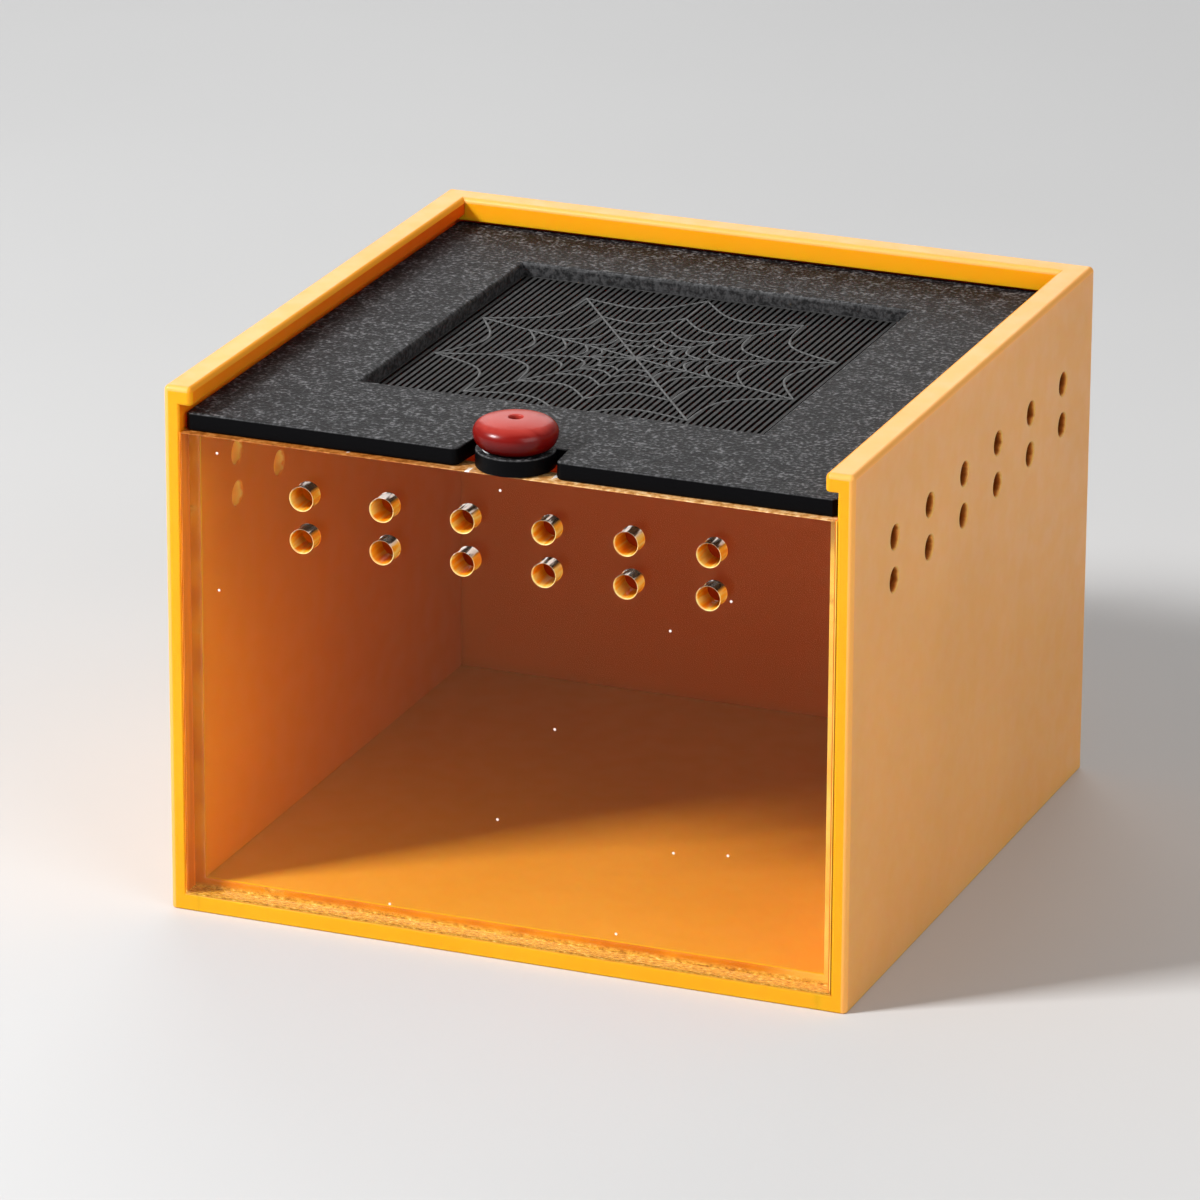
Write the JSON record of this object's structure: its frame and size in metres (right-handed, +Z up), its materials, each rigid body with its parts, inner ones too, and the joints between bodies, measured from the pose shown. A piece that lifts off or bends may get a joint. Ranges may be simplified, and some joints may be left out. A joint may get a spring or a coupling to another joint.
{
  "type": "jumping spider enclosure",
  "caption": "Small box for a jumping spider: opaque side, back and floor sheets, clear front window, air holes and a sliding vented lid with a bead knob.",
  "frame": {"origin": "middle of the underside of the box", "axes": "+Z up, -Y towards the front window and the way the lid slides out, +X to the right seen from the front"},
  "size_m": [0.12, 0.1215, 0.0926],
  "materials": {
    "orange_acrylic": "satin",
    "clear_acrylic": "polished",
    "cement": "uneven, with small bubbles",
    "black_plastic": "rough grained top, smooth edges",
    "black_slats": "matte",
    "web_line": "matte",
    "red_bead": "high gloss",
    "clear_glue": "glossy"
  },
  "bodies": {
    "case": {"floor_panel": "orange_acrylic", "left_side_wall": "orange_acrylic", "right_side_wall": "orange_acrylic", "back_wall": "orange_acrylic", "front_window": "clear_acrylic", "window_cement": "cement"},
    "lid": {"lid_panel": "black_plastic", "vent_slats": "black_slats", "spider_web": "web_line", "knob_bead": "red_bead", "knob_glue": "clear_glue"}
  },
  "joints": [
    {"name": "lid_slide", "type": "slide", "parent": "case", "child": "lid", "axis": [0, -1, 0], "range_m": [0, 0.108]}
  ]
}
